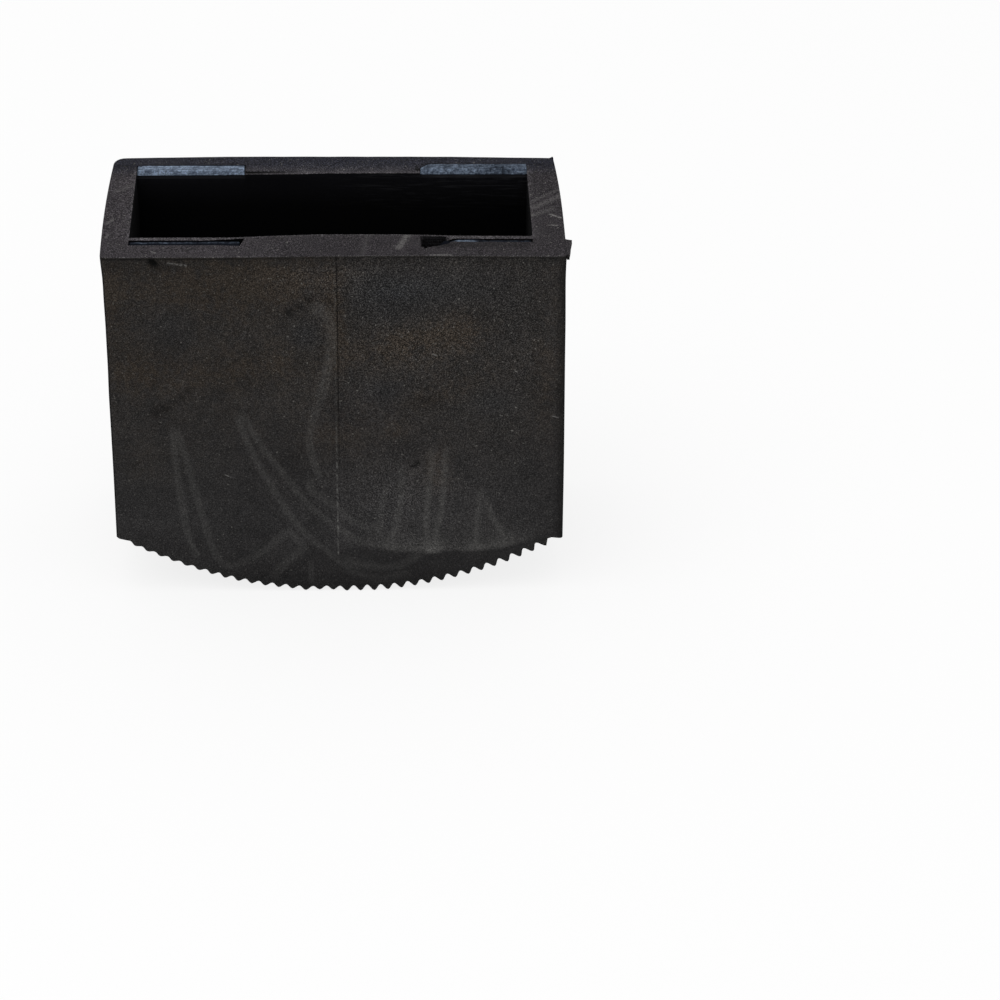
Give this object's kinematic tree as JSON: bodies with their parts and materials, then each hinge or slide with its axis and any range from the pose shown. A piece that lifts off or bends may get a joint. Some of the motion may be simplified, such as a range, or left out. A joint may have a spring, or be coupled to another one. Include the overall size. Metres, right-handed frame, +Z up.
{
  "type": "ladder foot cap",
  "caption": "Black rubber cap that slips over the end of a ladder stile, with a deep rectangular socket, steel plates in its long walls and a curved, toothed sole.",
  "frame": {"origin": "on the ground under the middle of the cap, where the lowest teeth of the tread touch", "axes": "+X across the cap's width, -Y out of its front face, +Z up along the ladder stile"},
  "size_m": [0.0852, 0.0404, 0.0721],
  "materials": {
    "boot_rubber": "matte black moulded rubber, speckled and smeared with pale bloom",
    "plate_steel": "dull zinc-plated sheet, blue-grey and streaked lengthways",
    "bearing_steel": "mill-finish steel plate, lightly stained"
  },
  "bodies": {
    "cap": {"boot": "boot_rubber", "front_left_plate": "plate_steel", "front_right_plate": "plate_steel", "back_left_plate": "plate_steel", "back_right_plate": "plate_steel"},
    "bearing": {"bearing_plate": "bearing_steel"}
  },
  "joints": [
    {"name": "bearing_lift", "type": "slide", "parent": "cap", "child": "bearing", "axis": [0, 0, 1], "range_m": [0, 0.052]}
  ]
}
